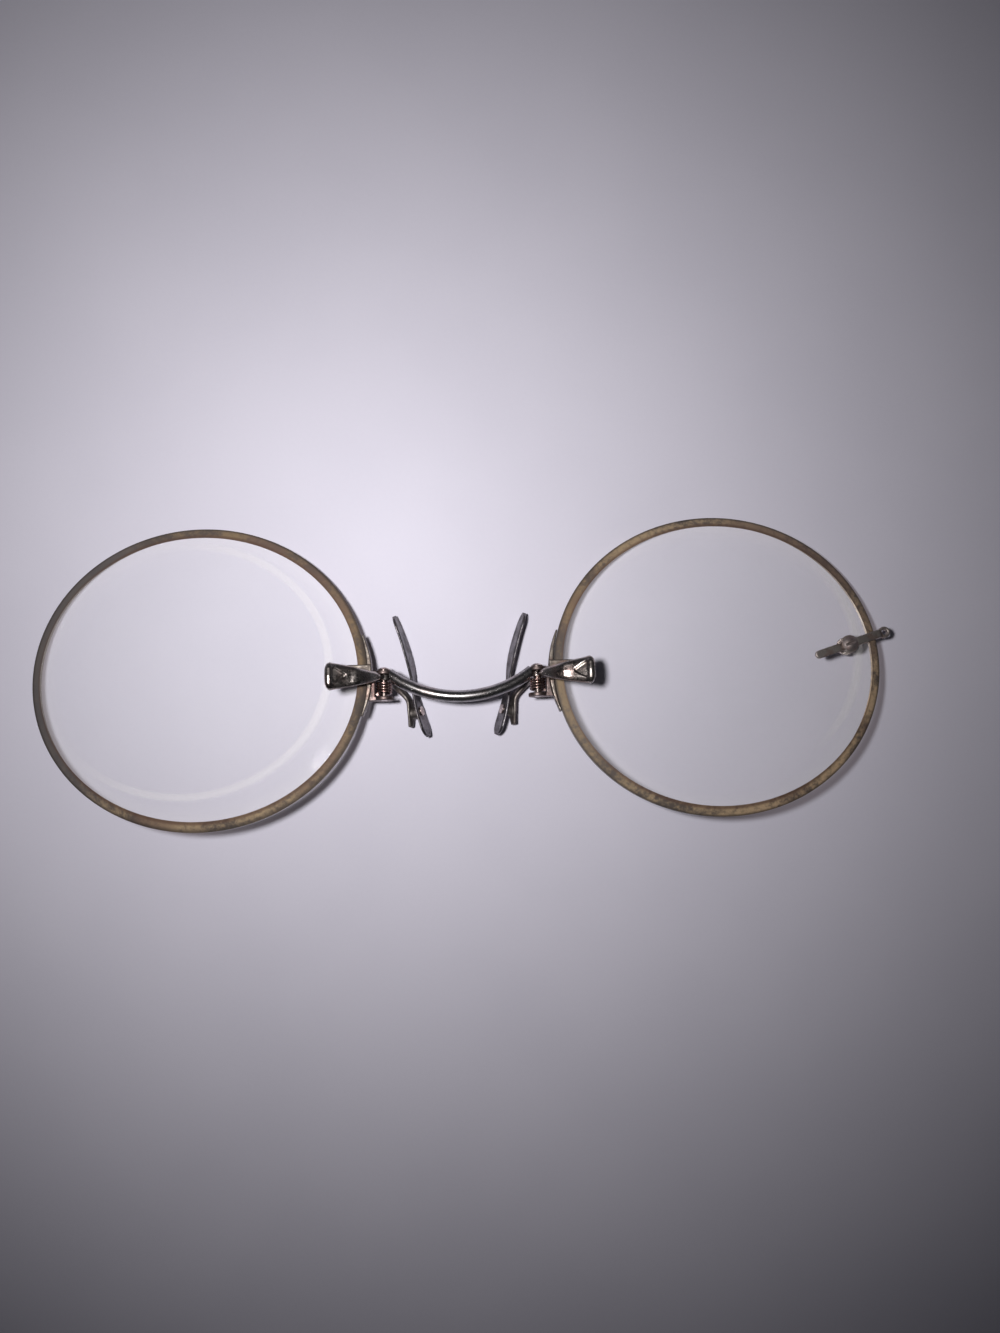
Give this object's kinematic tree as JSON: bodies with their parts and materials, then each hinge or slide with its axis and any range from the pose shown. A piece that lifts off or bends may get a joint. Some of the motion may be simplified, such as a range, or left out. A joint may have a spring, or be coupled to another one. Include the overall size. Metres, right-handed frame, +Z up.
{
  "type": "pince-nez eyeglasses",
  "caption": "Rimless finger-piece pince-nez: drilled oval lenses in edge straps, an arched bridge bar, sprung levers with nose guards and a chain handle.",
  "frame": {"origin": "bottom centre of the bounding box, on the surface that the glasses lie on", "axes": "+X across the nose towards the lens with the chain handle, +Y towards the lower rims as worn, +Z up, towards the front of the lenses"},
  "size_m": [0.1044, 0.0364, 0.0095],
  "materials": {
    "lens_glass": "polished faces, ground and age-toned rim",
    "gold_filled": "polished and tarnished",
    "guard_metal": "dull, tarnished",
    "screw_metal": "bright, slotted",
    "spring_steel": "drawn wire"
  },
  "bodies": {
    "frame": {"lens_left": "lens_glass", "lens_right": "lens_glass", "strap_left": "gold_filled", "strap_right": "gold_filled", "strap_screw_left": "screw_metal", "strap_screw_right": "screw_metal", "bridge": "gold_filled", "spring_box_left": "gold_filled", "spring_box_right": "gold_filled", "pivot_screw_left": "screw_metal", "pivot_screw_right": "screw_metal", "coil_spring_left": "spring_steel", "coil_spring_right": "spring_steel", "chain_handle": "gold_filled", "chain_handle_screw": "screw_metal"},
    "lever_left": {"finger_lever_left": "gold_filled", "guard_left": "guard_metal", "guard_rivet_left": "screw_metal"},
    "lever_right": {"finger_lever_right": "gold_filled", "guard_right": "guard_metal", "guard_rivet_right": "screw_metal"}
  },
  "joints": [
    {"name": "lever_left_turn", "type": "hinge", "parent": "frame", "child": "lever_left", "pos_m": [-0.01016, -0.00178, 0.00481], "axis": [0, 0.9794, -0.2019], "range_deg": [0, 30], "stiffness_Nm_per_rad": 0.0025, "springref_deg": -28.65},
    {"name": "lever_right_turn", "type": "hinge", "parent": "frame", "child": "lever_right", "pos_m": [0.00844, -0.00178, 0.00481], "axis": [0, -0.9794, 0.2019], "range_deg": [0, 30], "stiffness_Nm_per_rad": 0.0025, "springref_deg": -28.65}
  ]
}
